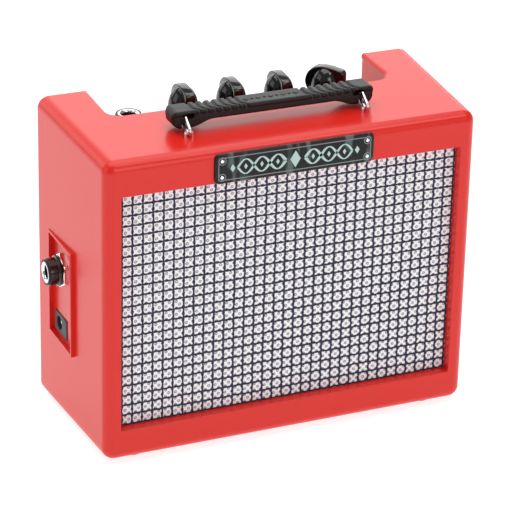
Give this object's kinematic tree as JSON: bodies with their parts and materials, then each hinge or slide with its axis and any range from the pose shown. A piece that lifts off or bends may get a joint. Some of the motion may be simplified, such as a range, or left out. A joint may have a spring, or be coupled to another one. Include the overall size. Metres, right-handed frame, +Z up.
{
  "type": "guitar amplifier",
  "caption": "Small red moulded guitar practice amplifier with a woven grille, pointer knobs in a recess at the top rear, side sockets and a carrying handle on wire links.",
  "frame": {"origin": "centre of the bounding box in plan, at the bottom of the feet", "axes": "+Z up, the grille faces -Y and the control recess is at the back, +X is the right-hand side seen from the front"},
  "size_m": [0.1844, 0.0778, 0.1523],
  "materials": {
    "cabinet_red": "satin moulded plastic",
    "grille_cloth": "woven off-white cloth with a dark grid",
    "grip_black": "satin",
    "gloss_black": "polished",
    "badge_black": "glossy, printed",
    "chrome": "polished plating",
    "steel": "plain",
    "black_plastic": "matt",
    "rubber": "matt",
    "battery_case": "satin",
    "led_red": "clear tinted lens",
    "board_green": "satin lacquer",
    "capacitor_sleeve": "shrink sleeve",
    "ferrite": "sintered, matt",
    "cone_paper": "pressed paper"
  },
  "bodies": {
    "cabinet": {"cabinet_shell": "cabinet_red", "back_panel": "cabinet_red", "battery_tray": "black_plastic", "grille_baffle": "black_plastic", "audio_chip": "black_plastic", "input_jack": "black_plastic", "phones_jack": "black_plastic", "power_socket": "black_plastic", "battery": "battery_case", "battery_snap": "rubber", "speaker_surround_left": "rubber", "speaker_surround_right": "rubber", "foot_front_left": "rubber", "foot_front_right": "rubber", "foot_rear_left": "rubber", "foot_rear_right": "rubber", "grille_cloth": "grille_cloth", "badge": "badge_black", "handle_eye_left": "chrome", "handle_eye_right": "chrome", "control_panel": "chrome", "input_jack_nut": "chrome", "phones_jack_nut": "chrome", "power_led": "led_red", "main_board": "board_green", "filter_capacitor": "capacitor_sleeve", "speaker_frame_left": "steel", "speaker_frame_right": "steel", "gain_nut": "steel", "volume_nut": "steel", "tone_nut": "steel", "power_nut": "steel", "gain_pot": "steel", "volume_pot": "steel", "tone_pot": "steel", "power_switch": "steel", "cover_screw_lower_left": "steel", "cover_screw_lower_right": "steel", "cover_screw_upper_left": "steel", "cover_screw_upper_right": "steel", "speaker_magnet_left": "ferrite", "speaker_magnet_right": "ferrite", "input_jack_collar": "gloss_black", "phones_jack_collar": "gloss_black"},
    "gain_knob": {"gain_knob": "gloss_black", "gain_shaft": "steel"},
    "volume_knob": {"volume_knob": "gloss_black", "volume_shaft": "steel"},
    "tone_knob": {"tone_knob": "gloss_black", "tone_shaft": "steel"},
    "power_knob": {"power_knob": "gloss_black", "power_shaft": "steel"},
    "handle": {"handle_grip": "grip_black"},
    "link_left": {"handle_link_left": "chrome"},
    "link_right": {"handle_link_right": "chrome"},
    "door": {"battery_door": "cabinet_red"},
    "cone_left": {"speaker_cone_left": "cone_paper", "dust_cap_left": "cone_paper"},
    "cone_right": {"speaker_cone_right": "cone_paper", "dust_cap_right": "cone_paper"}
  },
  "joints": [
    {"name": "gain_turn", "type": "hinge", "parent": "cabinet", "child": "gain_knob", "pos_m": [-0.02372, 0.02465, 0.129], "axis": [0, 0, 1], "range_deg": [-150, 150]},
    {"name": "volume_turn", "type": "hinge", "parent": "cabinet", "child": "volume_knob", "pos_m": [-0.00082, 0.02465, 0.129], "axis": [0, 0, 1], "range_deg": [-150, 150]},
    {"name": "tone_turn", "type": "hinge", "parent": "cabinet", "child": "tone_knob", "pos_m": [0.02208, 0.02465, 0.129], "axis": [0, 0, 1], "range_deg": [-150, 150]},
    {"name": "power_turn", "type": "hinge", "parent": "cabinet", "child": "power_knob", "pos_m": [0.04498, 0.02465, 0.129], "axis": [0, 0, 1], "range_deg": [-90, 0]},
    {"name": "handle_swing", "type": "hinge", "parent": "cabinet", "child": "link_left", "pos_m": [-0.03952, -0.02135, 0.1452], "axis": [1, 0, 0], "range_deg": [0, 90]},
    {"name": "handle_level", "type": "hinge", "parent": "link_left", "child": "handle", "pos_m": [-0.03952, -0.0166, 0.1477], "axis": [1, 0, 0], "range_deg": [-90, 0]},
    {"name": "right_link_swing", "type": "hinge", "parent": "cabinet", "child": "link_right", "pos_m": [0.04288, -0.02135, 0.1452], "axis": [1, 0, 0], "range_deg": [0, 90]},
    {"name": "battery_door_hinge", "type": "hinge", "parent": "cabinet", "child": "door", "pos_m": [0.00298, 0.0369, 0.0126], "axis": [-1, 0, 0], "range_deg": [0, 90]},
    {"name": "cone_left_travel", "type": "slide", "parent": "cabinet", "child": "cone_left", "axis": [0, 1, 0], "range_m": [-0.0008, 0.0008], "stiffness_N_per_m": 900},
    {"name": "cone_right_travel", "type": "slide", "parent": "cabinet", "child": "cone_right", "axis": [0, 1, 0], "range_m": [-0.0008, 0.0008], "stiffness_N_per_m": 900}
  ],
  "couplings": [
    {"joint": "handle_level", "follows": "handle_swing", "ratio": -1},
    {"joint": "right_link_swing", "follows": "handle_swing", "ratio": 1}
  ]
}
